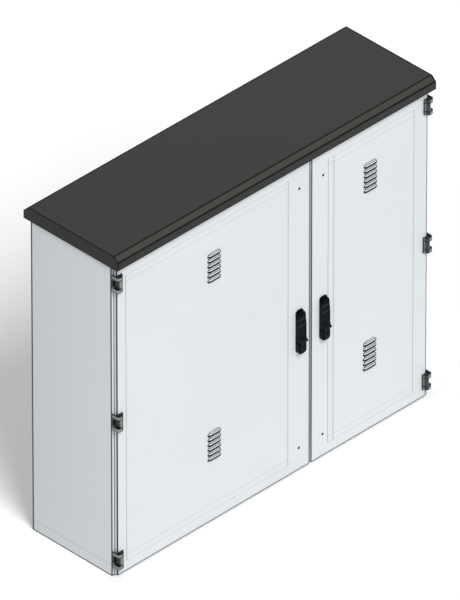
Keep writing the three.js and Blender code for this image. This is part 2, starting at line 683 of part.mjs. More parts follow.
function earthBar() {
  const { from, to, z, halfHeight, thickness, standOff } = earth;
  const { count, first, pitch, radius } = earthHoles;
  const foot = plate.face - gap - thickness / 2;
  const out = foot - standOff;
  const section = foldedSection([
    [from, foot], [from + 22, foot], [from + 34, out], [to - 34, out], [to - 22, foot], [to, foot],
  ], thickness, thickness);
  const drillings = Array.from({ length: count },
    (_, i) => bar('y', radius, out - 9, out + 9, from + first + i * pitch, z, 8));
  return cut(extrude(section, 'z', z - halfHeight, z + halfHeight), ...drillings);
}

// Top-hat rail, 35 mm wide and 7.5 mm deep, with fixing slots, fixed flat on the right mounting plate.
function mountingRail() {
  const { from, to, z, sheet: strip, half, halfInside, depth, slots, slotPitch } = rail;
  const back = plate.face + 0.2 - strip / 2;
  const section = foldedSection([
    [back - depth, z - half], [back - depth, z - halfInside], [back, z - halfInside],
    [back, z + halfInside], [back - depth, z + halfInside], [back - depth, z + half],
  ], strip, strip);
  const slotShapes = Array.from({ length: slots }, (_, i) => {
    const x = from + 25 + i * slotPitch;
    const slot = roundedRect(x - 9, x + 9, z - 3.1, z + 3.1, 3);
    return extrude(slot, 'y', back - 9, back + 9, { curveSegments: 2 });
  });
  return cut(extrude(section, 'x', from, to), ...slotShapes);
}

// ---- assembly ----

add('side_panel_left', sidePanel(), 'lightGreyPaint');
add('side_panel_right', mirrored(sidePanel()), 'lightGreyPaint');
add('rear_panel', rearPanel(), 'lightGreyPaint');
add('top_panel', topPanel(), 'lightGreyPaint');
add('base_pan', basePan(), 'lightGreyPaint');
add('centre_mullion', centreMullion(), 'lightGreyPaint');
add('lock_keeper', lockKeeper(), 'lightGreyPaint');
add('roof', canopyRoof(), 'darkGreyPaint');
add('gland_plate_left', glandPlate(glandOpenings.left), 'zincSteel');
add('gland_plate_right', glandPlate(glandOpenings.right), 'zincSteel');

for (const [side, width] of Object.entries(doorWidths)) {
  const handed = (geometry) => (side === 'left' ? geometry : mirrored(geometry));
  const lockX = left + door.edge + width - lockInset;
  const atLock = (geometry) => handed(geometry.translate(lockX, 0, 0));
  for (const [level, z] of Object.entries(hingeHeights)) {
    add(`hinge_bracket_${side}_${level}`, handed(hingeBracket(z)), 'dieCast');
    add(`hinge_leaf_${side}_${level}`, handed(hingeLeaf(z)), 'dieCast');
  }
  add(`door_pan_${side}`, handed(doorPan(width)), 'lightGreyPaint');
  add(`door_gasket_${side}`, handed(doorGasket(width)), 'sealFoam');
  add(`handle_base_${side}`, atLock(handleBase()), 'blackPlastic');
  add(`handle_lever_${side}`, atLock(handleLever()), 'blackPlastic');
  add(`lock_spindle_${side}`, atLock(lockSpindle()), 'zincSteel');
  add(`lock_cylinder_${side}`, atLock(lockCylinder()), 'nickel');
  add(`cylinder_cover_${side}`, atLock(cylinderCover()), 'blackPlastic');
  add(`rod_upper_${side}`, atLock(lockRod(rod.high)), 'zincSteel');
  add(`rod_lower_${side}`, atLock(lockRod(rod.low)), 'zincSteel');
  add(`rod_guide_upper_${side}`, atLock(rodGuide(rodGuideHeights.upper)), 'greyPlastic');
  add(`rod_guide_lower_${side}`, atLock(rodGuide(rodGuideHeights.lower)), 'greyPlastic');
}

add('mounting_plate_left', mountingPlate(plateSpans.left), 'zincSteel');
add('mounting_plate_right', join(mountingPlate(plateSpans.right), mountingRail()), 'zincSteel');
for (const [name, offset] of [['lower', -1], ['middle', 0], ['upper', 1]]) {
  add(`busbar_${name}`, busbarSolid(busbar.centreZ + offset * busbar.pitch), 'copper');
}
add('busbar_support_left', busbarSupport(busbar.from + 27), 'greyPlastic');
add('busbar_support_right', busbarSupport(busbar.to - 27), 'greyPlastic');
add('main_switch', mainSwitch(device.first), 'blackPlastic');
add('main_switch_knob', mainSwitchKnob(device.first), 'redPlastic');
for (const number of [1, 2, 3]) {
  const x = device.first + number * device.pitch;
  add(`feeder_switch_${number}`, feederSwitch(x), 'blackPlastic');
  add(`feeder_toggle_${number}`, feederToggle(x), 'greyPlastic');
}
add('earth_bar', earthBar(), 'copper');

export default cabinet;
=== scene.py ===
import json
import math
import bmesh
import bpy
from mathutils import Matrix, Vector


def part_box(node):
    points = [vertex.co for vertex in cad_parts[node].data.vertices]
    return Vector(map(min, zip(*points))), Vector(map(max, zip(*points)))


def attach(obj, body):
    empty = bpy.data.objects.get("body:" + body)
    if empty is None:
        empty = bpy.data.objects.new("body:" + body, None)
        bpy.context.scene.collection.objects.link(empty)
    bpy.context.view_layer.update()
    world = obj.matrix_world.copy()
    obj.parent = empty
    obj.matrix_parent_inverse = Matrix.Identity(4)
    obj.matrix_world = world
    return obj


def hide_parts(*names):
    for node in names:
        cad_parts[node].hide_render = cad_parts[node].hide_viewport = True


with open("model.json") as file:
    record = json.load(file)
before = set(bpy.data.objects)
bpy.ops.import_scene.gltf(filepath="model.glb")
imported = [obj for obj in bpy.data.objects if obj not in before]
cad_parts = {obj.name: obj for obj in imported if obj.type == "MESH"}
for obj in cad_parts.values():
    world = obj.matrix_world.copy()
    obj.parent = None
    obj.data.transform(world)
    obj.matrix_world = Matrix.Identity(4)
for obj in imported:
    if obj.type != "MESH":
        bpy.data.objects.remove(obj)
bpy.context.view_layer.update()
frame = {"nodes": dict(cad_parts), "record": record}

mm = 0.001
tiny = 0.01 * mm  # places closer than this count as one
past = 9 * mm  # how far a cutting box stands out of what it cuts
sides = ("left", "right")
levels = ("lower", "middle", "upper")
turnTo = {"x": (0, math.pi / 2, 0), "y": (math.pi / 2, 0, 0), "z": (0, 0, 0)}


# Modelling

def pick(*objects):
    if bpy.context.mode != "OBJECT":
        bpy.ops.object.mode_set(mode="OBJECT")
    bpy.ops.object.select_all(action="DESELECT")
    for obj in objects:
        obj.select_set(True)
    if objects:
        bpy.context.view_layer.objects.active = objects[0]


def settle(name):
    obj = bpy.context.active_object
    bpy.ops.object.transform_apply(location=True, rotation=True, scale=True)
    obj.name = name
    obj.data.name = name
    return obj


def addBox(name, low, high):
    pick()
    low, high = Vector(low), Vector(high)
    bpy.ops.mesh.primitive_cube_add(size=1, location=(low + high) / 2)
    bpy.context.active_object.scale = high - low
    return settle(name)


def addBar(name, axis, radius, middle, length, count=32):
    pick()
    bpy.ops.mesh.primitive_cylinder_add(vertices=count, radius=radius, depth=length, location=middle,
                                        rotation=turnTo[axis])
    return settle(name)


class Editing:  # edit mode on one object, with everything deselected
    def __init__(self, obj, mode="FACE"):
        self.obj = obj
        self.mode = mode

    def __enter__(self):
        pick(self.obj)
        bpy.ops.object.mode_set(mode="EDIT")
        bpy.ops.mesh.select_mode(type=self.mode)
        bpy.ops.mesh.select_all(action="DESELECT")
        return self

    def __exit__(self, *problem):
        bpy.ops.object.mode_set(mode="OBJECT")

    def mark(self, mode, group, test):
        bpy.ops.mesh.select_mode(type=mode)
        bpy.ops.mesh.select_all(action="DESELECT")
        cage = bmesh.from_edit_mesh(self.obj.data)
        for item in getattr(cage, group):
            item.select_set(bool(test(item)))
        bmesh.update_edit_mesh(self.obj.data)

    def faces(self, test):
        self.mark("FACE", "faces", lambda face: test(face.calc_center_median(), face.normal))

    def edges(self, test):
        self.mark("EDGE", "edges", lambda edge: test(edge.verts[0].co, edge.verts[1].co))

    def verts(self, test):
        self.mark("VERT", "verts", lambda vert: test(vert.co))

    def all(self):
        bpy.ops.mesh.select_all(action="SELECT")


def meets(value, *options):
    return any(abs(value - option) < tiny for option in options)


def runsAlong(axis):  # a test for the edges that lie along one axis
    across = [i for i in range(3) if "xyz"[i] != axis]
    return lambda a, b: all(meets(a[i], b[i]) for i in across)


def facing(axis, direction):  # a test for the faces that look one way
    return lambda centre, normal: normal["xyz".index(axis)] * direction > 0.9


def roundEdges(obj, test, radius, segments):
    with Editing(obj) as edit:
        edit.edges(test)
        bpy.ops.mesh.bevel(offset=radius, segments=segments, affect="EDGES")
    return obj


def modify(obj, kind, **values):
    pick(obj)
    bpy.ops.object.modifier_add(type=kind)
    modifier = obj.modifiers[-1]
    for key, value in values.items():
        setattr(modifier, key, value)
    bpy.ops.object.modifier_apply(modifier=modifier.name)
    return obj


def soften(obj, width, segments=2, angle=30):
    return modify(obj, "BEVEL", width=width, segments=segments, limit_method="ANGLE",
                  angle_limit=math.radians(angle), harden_normals=False)


def smooth(obj, angle=35):
    pick(obj)
    bpy.ops.object.shade_smooth_by_angle(angle=math.radians(angle))
    return obj


def combine(obj, tool, operation="DIFFERENCE"):
    modify(obj, "BOOLEAN", object=tool, operation=operation, solver="EXACT")
    bpy.data.objects.remove(tool)
    return obj


def fuse(name, *objects):
    pick(*objects)
    if len(objects) > 1:
        bpy.ops.object.join()
    objects[0].name = name
    return objects[0]


def mirror(obj):  # to the other side of the cabinet
    obj.data.transform(Matrix.Scale(-1, 4, (1, 0, 0)))
    obj.data.flip_normals()


def duplicate(obj, name, shift=(0, 0, 0), flip=False):
    copy = obj.copy()
    copy.data = obj.data.copy()
    copy.name = name
    bpy.context.scene.collection.objects.link(copy)
    if flip:
        mirror(copy)
    copy.data.transform(Matrix.Translation(shift))
    return copy


def finish(obj, look, body, slot, *nodes):
    obj.data.materials.clear()
    obj.data.materials.append(look)
    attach(obj, body)
    if nodes:
        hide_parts(*nodes)
    return obj


def foldedSheet(name, points, axis, start, end, thickness=2 * mm, radius=2 * mm, segments=4):
    pick()  # points run along the middle of the sheet, in the two axes across the run
    along = "xyz".index(axis)
    across = [i for i in range(3) if i != along]

    def place(point, run):
        corner = [0.0, 0.0, 0.0]
        corner[across[0]], corner[across[1]], corner[along] = *point, run
        return Vector(corner)

    def edgesAt(*folds):
        return lambda a, b: any(all(meets(v[i], fold[i]) for v in (a, b) for i in across) for fold in folds)

    bpy.ops.mesh.primitive_plane_add(size=1)
    strip = settle(name)
    corners = [place(points[0], start), place(points[1], start), place(points[1], end), place(points[0], end)]
    order = sorted(strip.data.vertices, key=lambda v: math.atan2(v.co.y, v.co.x))
    for vert, corner in zip(order, corners):
        vert.co = corner
    with Editing(strip, "EDGE") as edit:
        for before, after in zip(points[1:], points[2:]):
            edit.edges(edgesAt(place(before, start)))
            bpy.ops.mesh.extrude_edges_move(
                TRANSFORM_OT_translate={"value": place(after, start) - place(before, start)})
        edit.edges(edgesAt(*[place(point, start) for point in points[1:-1]]))
        bpy.ops.mesh.bevel(offset=radius, segments=segments, affect="EDGES")
    modify(strip, "SOLIDIFY", thickness=thickness, offset=0, use_even_offset=True)
    with Editing(strip) as edit:
        edit.all()
        bpy.ops.mesh.normals_make_consistent(inside=False)
    return strip


# Shading

class Wire:  # a socket that can be used in sums
    def __init__(self, shader, socket):
        self.shader = shader
        self.socket = socket

    def sum(self, operation, other, first=True):
        pair = (self, other) if first else (other, self)
        return self.shader.add("ShaderNodeMath", {"operation": operation}, {0: pair[0], 1: pair[1]})

    def __add__(self, other):
        return self.sum("ADD", other)

    def __radd__(self, other):
        return self.sum("ADD", other)

    def __sub__(self, other):
        return self.sum("SUBTRACT", other)

    def __rsub__(self, other):
        return self.sum("SUBTRACT", other, False)

    def __mul__(self, other):
        return self.sum("MULTIPLY", other)

    def __rmul__(self, other):
        return self.sum("MULTIPLY", other)

    def __mod__(self, other):
        return self.sum("MODULO", other)

    def __abs__(self):
        return self.sum("ABSOLUTE", 0.0)

    def __gt__(self, other):
        return self.sum("GREATER_THAN", other)

    def __lt__(self, other):
        return self.sum("LESS_THAN", other)

    def __and__(self, other):
        return self.sum("MULTIPLY", other)

    def __or__(self, other):
        return self.sum("MAXIMUM", other)

    def within(self, low, high):
        return (self > low) & (self < high)

    def around(self, middle, half):
        return self.within(middle - half, middle + half)


class Shader:
    def __init__(self, name, **constants):
        self.material = bpy.data.materials.new(name)
        self.material.use_nodes = True
        self.tree = self.material.node_tree
        self.surface = next(n for n in self.tree.nodes if n.type == "BSDF_PRINCIPLED")
        for key, value in constants.items():
            self.surface.inputs[key].default_value = value
        self.place = self.add("ShaderNodeTexCoord", {}, {}, "Object")

    def add(self, kind, settings, values, output=0):
        node = self.tree.nodes.new(kind)
        for key, value in settings.items():
            if key == "stops":
                while len(node.color_ramp.elements) < len(value):
                    node.color_ramp.elements.new(0.5)
                for element, (position, colour) in zip(node.color_ramp.elements, value):
                    element.position = position
                    element.color = (*colour, 1)
            else:
                setattr(node, key, value)
        for key, value in values.items():
            self.feed(node.inputs[key], value)
        return Wire(self, node.outputs[output])

    def feed(self, socket, value):
        if isinstance(value, Wire):
            self.tree.links.new(value.socket, socket)
        else:
            socket.default_value = value

    def axes(self):
        split = self.add("ShaderNodeSeparateXYZ", {}, {"Vector": self.place})
        return [Wire(self, output) for output in split.socket.node.outputs]

    def noise(self, scale, detail=2.0, stretch=(1, 1, 1), roughness=0.5):
        vector = self.add("ShaderNodeMapping", {}, {"Vector": self.place, "Scale": stretch})
        return self.add("ShaderNodeTexNoise", {}, {"Vector": vector, "Scale": scale, "Detail": detail,
                                                   "Roughness": roughness})

    def cells(self, scale, feature="F1", output=0):
        return self.add("ShaderNodeTexVoronoi", {"feature": feature}, {"Vector": self.place, "Scale": scale},
                        output)

    def blend(self, factor, first, second):  # inputs 6 and 7 and output 2 are the Mix node's colours
        first, second = (c if isinstance(c, Wire) else (*c, 1) for c in (first, second))
        return self.add("ShaderNodeMix", {"data_type": "RGBA"}, {"Factor": factor, 6: first, 7: second}, 2)

    def shades(self, factor, colour, amounts):  # one colour between two amounts of itself
        return self.blend(factor, *(tuple(min(1.0, c * amount) for c in colour) for amount in amounts))

    def use(self, **links):
        names = {"colour": "Base Color", "rough": "Roughness", "metal": "Metallic", "normal": "Normal"}
        for key, value in links.items():
            self.feed(self.surface.inputs[names[key]], value)

    def bump(self, height, distance):
        self.use(normal=self.add("ShaderNodeBump", {}, {"Height": height, "Distance": distance,
                                                        "Strength": 1.0}))


# Paint

paintValues = {
    "light": {"colour": (0.768, 0.811, 0.835), "rough": 0.42, "grain": 0.05 * mm, "sheen": 0.3},
    "dark": {"colour": (0.0395, 0.0395, 0.0365), "rough": 0.55, "grain": 0.12 * mm, "sheen": 0.1},
    "casting": {"colour": (0.25, 0.254, 0.258), "rough": 0.40, "grain": 0.09 * mm, "sheen": 0.3},
}
# shadeColour is the near-black of the painted shade lines
coatValues = {  # each noise is its scale and detail
    "ior": 1.45, "cloud": (2.2, 3), "peel": (420, 2), "speck": (1500, 1), "shades": (0.975, 1.02),
    "roughCloud": 0.10, "roughSpeck": 0.05, "peelShare": 0.6, "shadeColour": (0.003, 0.0035, 0.004)}


def powderCoat(name, paint, paintedShading):
    values = paintValues[paint]
    shader = Shader(name, **{"IOR": coatValues["ior"], "Specular IOR Level": values["sheen"]})
    cloud, peel, speck = (shader.noise(*coatValues[key]) for key in ("cloud", "peel", "speck"))
    tint = shader.shades(cloud, values["colour"], coatValues["shades"])
    for mask, amount, *other in paintedShading(shader):  # painted shade lines along edges, folds and gaps, and painted light on some faces
        tint = shader.blend(mask * amount, tint, *(other or [coatValues["shadeColour"]]))
    shader.use(colour=tint, rough=values["rough"] + coatValues["roughCloud"] * cloud
               - coatValues["roughSpeck"] * speck)
    shader.bump(coatValues["peelShare"] * peel + (1 - coatValues["peelShare"]) * speck, values["grain"])
    return shader.material


# Plastic, metal and foam

plasticValues = {
    "ior": 1.46, "cloud": (14, 3), "spark": 1400, "roughCloud": 0.12, "shades": (0.9, 1.12),
    "grey": {"colour": (0.33, 0.35, 0.37), "rough": 0.45, "grain": 0.06 * mm},
    "switch": {"colour": (0.018, 0.019, 0.021), "rough": 0.45, "grain": 0.06 * mm},
    "red": {"colour": (0.50, 0.022, 0.014), "rough": 0.3, "grain": 0.02 * mm}}


def mouldedPlastic(kind):
    values = plasticValues[kind]
    shader = Shader(f"{kind}Plastic", IOR=plasticValues["ior"])
    cloud = shader.noise(*plasticValues["cloud"])
    shader.use(colour=shader.shades(cloud, values["colour"], plasticValues["shades"]),
               rough=values["rough"] + plasticValues["roughCloud"] * cloud)
    shader.bump(shader.cells(plasticValues["spark"]), values["grain"])
    return shader.material


nickelValues = {"colour": (0.60, 0.60, 0.57), "metal": 0.9, "cloud": (9, 4), "drawn": (60, 2, (1, 1, 0.05)),
                "shades": (0.86, 1.08), "rough": (0.18, 0.16, 0.06), "grain": 0.03 * mm}


def nickelPlate():
    shader = Shader("nickelPlate", Metallic=nickelValues["metal"])
    cloud, drawn = shader.noise(*nickelValues["cloud"]), shader.noise(*nickelValues["drawn"])
    base, fromCloud, fromDrawn = nickelValues["rough"]
    shader.use(colour=shader.shades(cloud, nickelValues["colour"], nickelValues["shades"]),
               rough=base + fromCloud * cloud + fromDrawn * drawn)
    shader.bump(drawn, nickelValues["grain"])
    return shader.material


zincValues = {"colour": (0.60, 0.62, 0.64), "metal": 0.85, "spangle": 95, "cloud": (5, 3), "spangleShare": 0.6,
              "shades": (0.84, 1.1), "rough": (0.34, 0.16), "grain": 0.02 * mm}


def zincSheet():  # spangle of hot-dipped sheet
    shader = Shader("zincSheet", Metallic=zincValues["metal"])
    spangle = shader.cells(zincValues["spangle"], output="Color")
    grey = shader.add("ShaderNodeSeparateColor", {}, {"Color": spangle}, "Red")
    share, (base, fromGrey) = zincValues["spangleShare"], zincValues["rough"]
    mottle = share * grey + (1 - share) * shader.noise(*zincValues["cloud"])
    shader.use(colour=shader.shades(mottle, zincValues["colour"], zincValues["shades"]),
               rough=base + fromGrey * grey)
    shader.bump(grey, zincValues["grain"])
    return shader.material


lockValues = {"cloud": (9, 4), "steel": ((0.50, 0.52, 0.54), (0.64, 0.66, 0.68)), "hub": (0.004, 0.005, 0.008),
              "metal": 0.88, "rough": (0.32, 0.16), "grain": 0.02 * mm}


def lockSteel():  # zinc plated behind the door, black moulded hub in front of it
    shader = Shader("lockSteel")
    y = shader.axes()[1]
    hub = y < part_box("handle_base_left")[1].y
    cloud = shader.noise(*lockValues["cloud"])
    steel = shader.blend(cloud, *lockValues["steel"])
    base, fromCloud = lockValues["rough"]
    shader.use(colour=shader.blend(hub, steel, lockValues["hub"]), metal=lockValues["metal"] * (1 - hub),
               rough=base + fromCloud * cloud)
    shader.bump(cloud, lockValues["grain"])
    return shader.material


copperValues = {"stain": (16, 5, (1, 1, 1), 0.62), "drawn": (40, 2, (0.03, 1, 1)), "rough": (0.22, 0.2, 0.08),
                "stops": [(0.3, (0.28, 0.12, 0.06)), (0.55, (0.62, 0.30, 0.17)), (0.8, (0.78, 0.43, 0.27))],
                "grain": 0.02 * mm}


def bareCopper():
    shader = Shader("bareCopper", Metallic=1.0)
    stain, drawn = shader.noise(*copperValues["stain"]), shader.noise(*copperValues["drawn"])
    base, fromStain, fromDrawn = copperValues["rough"]
    tint = shader.add("ShaderNodeValToRGB", {"stops": copperValues["stops"]}, {"Fac": stain})
    shader.use(colour=tint, rough=base + fromStain * stain + fromDrawn * drawn)
    shader.bump(drawn, copperValues["grain"])
    return shader.material


foamValues = {"ior": 1.4, "pores": 900, "colours": ((0.012, 0.013, 0.014), (0.035, 0.036, 0.038)),
              "cloud": (30, 3), "rough": (0.86, 0.1), "grain": 0.2 * mm}


def foamSeal():
    shader = Shader("foamSeal", IOR=foamValues["ior"])
    pores = shader.cells(foamValues["pores"], "SMOOTH_F1")
    base, fromCloud = foamValues["rough"]
    shader.use(colour=shader.blend(pores, *foamValues["colours"]),
               rough=base + fromCloud * shader.noise(*foamValues["cloud"]))
    shader.bump(pores, foamValues["grain"])
    return shader.material


# Camera, light and floor

cameraValues = {"azimuth": -45, "elevation": 35.264, "distance": 57.5, "frameHeight": 1.6175, "sensor": 36,
                "target": (1.0 * mm, 0.3 * mm, 533.1 * mm), "farthest": 2000}
lightValues = {"sky": 0.50, "sun": 2.15, "angle": 24, "towards": (-0.14, -0.42, 0.52)}
floorValues = {"size": 900, "seen": 1.0, "felt": 0.62}


def addCamera():
    azimuth, elevation = math.radians(cameraValues["azimuth"]), math.radians(cameraValues["elevation"])
    outward = Vector((math.sin(azimuth) * math.cos(elevation), -math.cos(azimuth) * math.cos(elevation),
                      math.sin(elevation)))
    target = Vector(cameraValues["target"])
    data = bpy.data.cameras.new("camera")
    data.sensor_width = cameraValues["sensor"]
    data.lens = cameraValues["sensor"] * cameraValues["distance"] / cameraValues["frameHeight"]
    data.clip_end = cameraValues["farthest"]
    camera = bpy.data.objects.new("camera", data)
    bpy.context.scene.collection.objects.link(camera)
    camera.location = target + outward * cameraValues["distance"]
    camera.rotation_euler = (-outward).to_track_quat("-Z", "Y").to_euler()
    bpy.context.scene.camera = camera


def seenDirectly(shader):  # straight from the camera, or in metal and glass
    path = shader.add("ShaderNodeLightPath", {}, {}, "Is Camera Ray")
    glossy = Wire(shader, path.socket.node.outputs["Is Glossy Ray"])
    through = Wire(shader, path.socket.node.outputs["Is Transmission Ray"])
    return path.sum("MAXIMUM", glossy.sum("MAXIMUM", through))


def addLight():
    world = bpy.data.worlds.new("studio")
    world.use_nodes = True
    bpy.context.scene.world = world
    shader = Shader.__new__(Shader)  # the world's nodes, which have no surface
    shader.tree = world.node_tree
    sky = next(n for n in shader.tree.nodes if n.type == "BACKGROUND")
    sky.inputs["Color"].default_value = (1, 1, 1, 1)
    shader.feed(sky.inputs["Strength"], lightValues["sky"] + (1 - lightValues["sky"]) * seenDirectly(shader))
    data = bpy.data.lights.new("sun", "SUN")
    data.energy = lightValues["sun"]
    data.angle = math.radians(lightValues["angle"])
    sun = bpy.data.objects.new("sun", data)
    bpy.context.scene.collection.objects.link(sun)
    sun.rotation_euler = Vector(lightValues["towards"]).to_track_quat("Z", "Y").to_euler()


def addFloor():
    pick()
    bpy.ops.mesh.primitive_plane_add(size=floorValues["size"], location=(0, 0, 0))
    floor = settle("floor")
    shader = Shader("floorPaper", **{"Roughness": 1.0, "Specular IOR Level": 0.0})
    felt, seen = ((floorValues[key],) * 3 for key in ("felt", "seen"))
    shader.use(colour=shader.blend(seenDirectly(shader), felt, seen))
    floor.data.materials.append(shader.material)


# Canopy roof

roofValues = {"sheet": 2 * mm, "chamfer": 15 * mm, "edge": 1.2 * mm, "drip": 12 * mm, "dripSheet": 1.2 * mm,
              "dripFold": 0.5 * mm, "dripIn": 2.2 * mm, "dripLift": 1.1 * mm, "dripEnd": 2.4 * mm,
              "rails": (-380 * mm, 380 * mm), "railTop": 20 * mm, "railFoot": 38 * mm, "railLift": 1.3 * mm,
              "railUnder": 3.2 * mm, "railEnds": (42 * mm, 35 * mm)}
roofMarks = {"ends": (5.5 * mm, 0.8 * mm), "inner": (29 * mm, 25.5 * mm), "skin": 0.5 * mm,
             "slope": (0.2 * mm, 0.3 * mm), "topFold": (4.05 * mm, 0.81 * mm),
             "frontFold": (1.62 * mm, 2.7 * mm), "foot": 3 * mm, "foldShade": 0.95, "innerLine": 0.25,
             "footShade": 0.9, "paintedLightTop": (0.0434, 0.0434, 0.0409), "paintedLightSlope": (0.0502, 0.0514, 0.0446)}


def roofPaintedShading(shader):
    x, y, z = shader.axes()
    low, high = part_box("roof")
    marks, chamfer = roofMarks, roofValues["chamfer"]
    (outTop, inTop), (downFront, upFront) = marks["topFold"], marks["frontFold"]
    slopeFoot, slopeTop = marks["slope"]
    ends, inner = (abs(x).within(high.x - start, high.x - end)
                   for start, end in (marks["ends"], marks["inner"]))
    # a faint dark line painted across the top near each end
    inner = inner & (z > high.z - marks["skin"])
    rise = z - (high.z - chamfer)  # up from the foot of the slope
    inset = abs(y - (low.y + high.y) / 2) - (high.y - low.y) / 2  # in from the front and back faces
    # painted shade lines run along the folds, the ends and the foot
    between = abs(x) < high.x - marks["skin"]
    slopes = (inset > -chamfer) & rise.within(slopeFoot, chamfer - slopeTop) & between
    tops = inset.within(-chamfer - outTop, -chamfer + inTop) & (rise > 0) & between
    fronts = rise.within(-downFront, upFront) & (inset > -upFront) & between
    # painted light: the top and the slope get lighter tones than the front and the ends
    return ((rise > chamfer - slopeTop, 1, marks["paintedLightTop"]), (slopes, 1, marks["paintedLightSlope"]),
            (ends | tops | fronts, marks["foldShade"]), (inner, marks["innerLine"]),
            (z < low.z + marks["foot"], marks["footShade"]))


def makeRoof():
    low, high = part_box("roof")
    hood = addBox("canopy", low, high)
    with Editing(hood) as edit:
        edit.edges(lambda a, b: meets(a.z, high.z) and meets(b.z, high.z) and meets(a.y, b.y))
        bpy.ops.mesh.bevel(offset=roofValues["chamfer"], segments=1, affect="EDGES")
        edit.faces(facing("z", -1))
        bpy.ops.mesh.delete(type="FACE")
    modify(hood, "SOLIDIFY", thickness=roofValues["sheet"], offset=-1, use_even_offset=True)
    parts = [soften(hood, roofValues["edge"], 3)]
    dripZ = low.z + roofValues["dripLift"]
    for y, inward in ((low.y, 1), (high.y, -1)):  # folded drip edges
        first = y + inward * roofValues["dripIn"]
        points = [(first, low.z + roofValues["sheet"]), (first, dripZ),
                  (first + inward * roofValues["drip"], dripZ)]
        start, end = low.x + roofValues["dripEnd"], high.x - roofValues["dripEnd"]
        parts.append(foldedSheet("drip", points, "x", start, end, roofValues["dripSheet"],
                                 roofValues["dripFold"]))
    bottom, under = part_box("top_panel")[1].z + roofValues["railLift"], high.z - roofValues["railUnder"]
    top, foot = roofValues["railTop"], roofValues["railFoot"]
    for x in roofValues["rails"]:  # hat-shaped rails that carry the canopy
        points = [(x - foot, bottom), (x - top, bottom), (x - top, under), (x + top, under), (x + top, bottom),
                  (x + foot, bottom)]
        parts.append(foldedSheet("rail", points, "y", low.y + roofValues["railEnds"][0],
                                 high.y - roofValues["railEnds"][1]))
    roof = smooth(fuse("canopyRoof", *parts))
    return finish(roof, looks["dark_grey_paint"], "cabinet", "dark_grey_paint", "roof")


# Hinges

hingeValues = {"height": 50 * mm, "axis": (-585 * mm, -172 * mm), "middles": (56 * mm, 511 * mm, 966 * mm),
               "barrel": 7 * mm, "knuckle": 6.7 * mm, "wing": 3.4 * mm, "pin": 3.5 * mm, "bore": 4.6 * mm,
               "window": 12.7 * mm, "windowFront": 20 * mm, "windowBack": 12.7 * mm, "windowCorner": 5 * mm,
               "edge": 0.7 * mm, "play": 0.3 * mm, "pinShort": 3 * mm, "pinEdge": 0.6 * mm, "leaf": 3.5 * mm,
               "leafGap": 0.2 * mm, "leafLap": 2 * mm, "strap": (-592.3 * mm, -591.2 * mm),
               "strapDeep": (1 * mm, 10.5 * mm), "strapShort": (2 * mm, 1 * mm), "strapEdge": 0.3 * mm}
hingeMarks = {  # distances from the axis, the window or the top and foot of a hinge
    "round": (0.2 * mm, 2.6 * mm), "doorSide": (6.4 * mm, 14 * mm), "doorSideOut": 3 * mm, "topDown": 2 * mm,
    "topFront": 6.4 * mm, "topOut": 9 * mm, "hollowOut": 2 * mm, "inside": 4 * mm, "endDown": 1.3 * mm,
    "endOut": 7.1 * mm, "endBack": 3 * mm, "slot": (6 * mm, 12.2 * mm), "rim": 17.4 * mm}
# how dark the painted shade is in each place on a hinge
hingeShade = {"round": 0.99, "ends": 0.95, "slot": 0.98, "rim": 0.95, "hollow": 0.7, "doorSide": 0.85,
             "top": 0.97}


def hingePaintedShading(shader):
    x, y, z = shader.axes()
    axisX, axisY = hingeValues["axis"]
    marks, middle = hingeMarks, hingeValues["middles"][0]
    pitch = hingeValues["middles"][1] - middle
    outer, deep = abs(x) + axisX, y > axisY - marks["inside"]
    height = abs((z - (middle - pitch / 2)) % pitch - pitch / 2)  # from the middle of the nearest hinge
    window, half, back = hingeValues["window"], hingeValues["height"] / 2, axisY + hingeValues["windowBack"]
    lap, wide = marks["round"]
    beside = height.within(window - lap, window + wide) & (y < back + wide)
    behind = (height < window + wide) & y.within(back - lap, back + wide)
    ends = (outer > -marks["endOut"]) | (y < axisY + marks["endBack"])
    top = (y < axisY + marks["topFront"]) & (outer < marks["topOut"])
    # painted shade in the window, the slot and the hollow, on the door side of the barrel, and as dark lines on
    # the surround, ends, back rim and top
    masks = {"round": beside | behind, "ends": ends & (height > half - marks["endDown"]),
             "slot": outer.within(*marks["slot"]) & deep & (height > window),
             "rim": y > axisY + marks["rim"],
             "hollow": (height < window) & (outer > -marks["hollowOut"]) & deep,
             "doorSide": (axisY - y - outer).within(*marks["doorSide"]) & (outer < marks["doorSideOut"]),
             "top": top & (height > half - marks["topDown"])}
    return [(mask, hingeShade[key]) for key, mask in masks.items()]


def makeBracket():
    low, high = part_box("hinge_bracket_left_lower")
    axisX, axisY = hingeValues["axis"]
    middleZ, half, window = (low.z + high.z) / 2, hingeValues["height"] / 2, hingeValues["window"]
    middle = (axisX, axisY, middleZ)
    barrel, wing = hingeValues["barrel"], hingeValues["wing"]
    outer, front = low.x + wing / 2, axisY - barrel + wing / 2
    casting = foldedSheet("casting", [(outer, high.y), (outer, front), (axisX, front)], "z", middleZ - half,
                          middleZ + half, wing, barrel - wing / 2, 7)
    combine(casting, addBar("curl", "z", barrel, middle, 2 * half, 40), "UNION")
    combine(casting, addBar("hole", "z", hingeValues["bore"], middle, 3 * half, 32))
    opening = addBox("window", (low.x - past, axisY - hingeValues["windowFront"], middleZ - window),
                     (high.x + past, axisY + hingeValues["windowBack"], middleZ + window))
    roundEdges(opening, lambda a, b: runsAlong("x")(a, b) and a.y > axisY, hingeValues["windowCorner"], 6)
    soften(combine(casting, opening), hingeValues["edge"], 2, 40)
    pin = addBar("pin", "z", hingeValues["pin"], middle, 2 * half - hingeValues["pinShort"], 24)
    return smooth(fuse("hingeBracket", casting, soften(pin, hingeValues["pinEdge"])))


